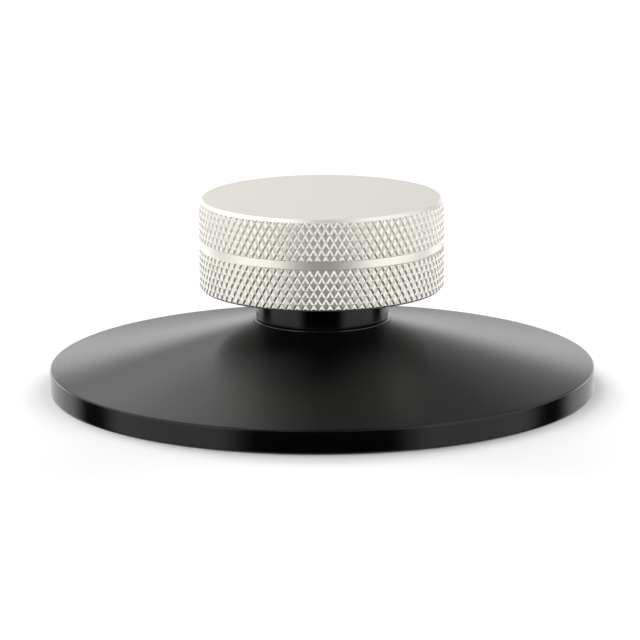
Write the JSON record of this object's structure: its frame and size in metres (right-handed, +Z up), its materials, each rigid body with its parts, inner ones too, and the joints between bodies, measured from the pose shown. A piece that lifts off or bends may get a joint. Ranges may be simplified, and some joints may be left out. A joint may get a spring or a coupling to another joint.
{
  "type": "record clamp",
  "caption": "Round record clamp: a shallow conical disc with a knurled knob on a short neck, which draws a split collet tight on the turntable spindle.",
  "frame": {"origin": "centre of the face that lies on the record, on the axis of the spindle", "axes": "+Z up along the axis of the spindle, from the record to the knob; +Y through the key pin, away from the camera"},
  "size_m": [0.1, 0.1, 0.0355],
  "materials": {
    "black_acetal": "satin black, turned",
    "washer_nylon": "smooth black",
    "steel": "ground",
    "brass": "turned",
    "satin_aluminium": "satin, diamond knurled"
  },
  "bodies": {
    "base": {"clamp_disc": "black_acetal", "thrust_washer": "washer_nylon", "key_pin": "steel", "retaining_ring": "steel"},
    "knob": {"knob": "satin_aluminium", "collet_nut": "black_acetal"},
    "collet": {"collet": "brass"}
  },
  "joints": [
    {"name": "knob_turn", "type": "hinge", "parent": "base", "child": "knob", "pos_m": [0, 0, 0.018], "axis": [0, 0, -1], "range_deg": [0, 540]},
    {"name": "collet_draw", "type": "slide", "parent": "base", "child": "collet", "axis": [0, 0, 1], "range_m": [0, 0.0015]}
  ],
  "couplings": [
    {"joint": "collet_draw", "follows": "knob_turn", "m_per_rad": 0.00015915}
  ]
}
